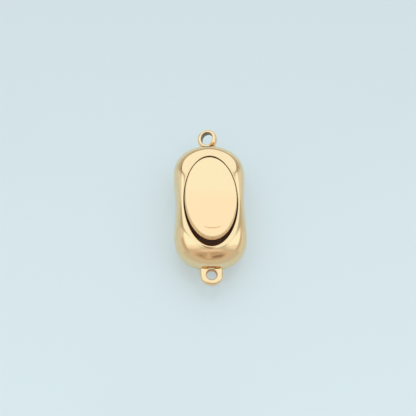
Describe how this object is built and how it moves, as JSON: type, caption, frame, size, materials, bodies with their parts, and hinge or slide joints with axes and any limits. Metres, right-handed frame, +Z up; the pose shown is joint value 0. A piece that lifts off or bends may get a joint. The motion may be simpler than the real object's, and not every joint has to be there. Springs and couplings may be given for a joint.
{
  "type": "button clasp",
  "caption": "Polished pebble-shaped box clasp: an oval push button hinged at the ring end, a soldered end ring, and a tongue with a flat eyelet.",
  "frame": {"origin": "middle of the flat back that the clasp lies on", "axes": "+X across the clasp, +Y along it from the eyelet to the soldered ring, +Z up, out of the button's face"},
  "size_m": [0.0112, 0.0261, 0.0087],
  "materials": {
    "housing_gold": "mirror-polished gold plate",
    "button_gold": "mirror-polished gold plate",
    "tongue_gold": "polished gold plate",
    "pin_gold": "plain drawn wire"
  },
  "bodies": {
    "body": {"housing": "housing_gold", "tongue": "tongue_gold", "hinge_pin": "pin_gold"},
    "push_button": {"button": "button_gold"}
  },
  "joints": [
    {"name": "button_press", "type": "hinge", "parent": "body", "child": "push_button", "pos_m": [0, 0.006, 0.00475], "axis": [1, 0, 0], "range_deg": [0, 9], "stiffness_Nm_per_rad": 0.05}
  ]
}
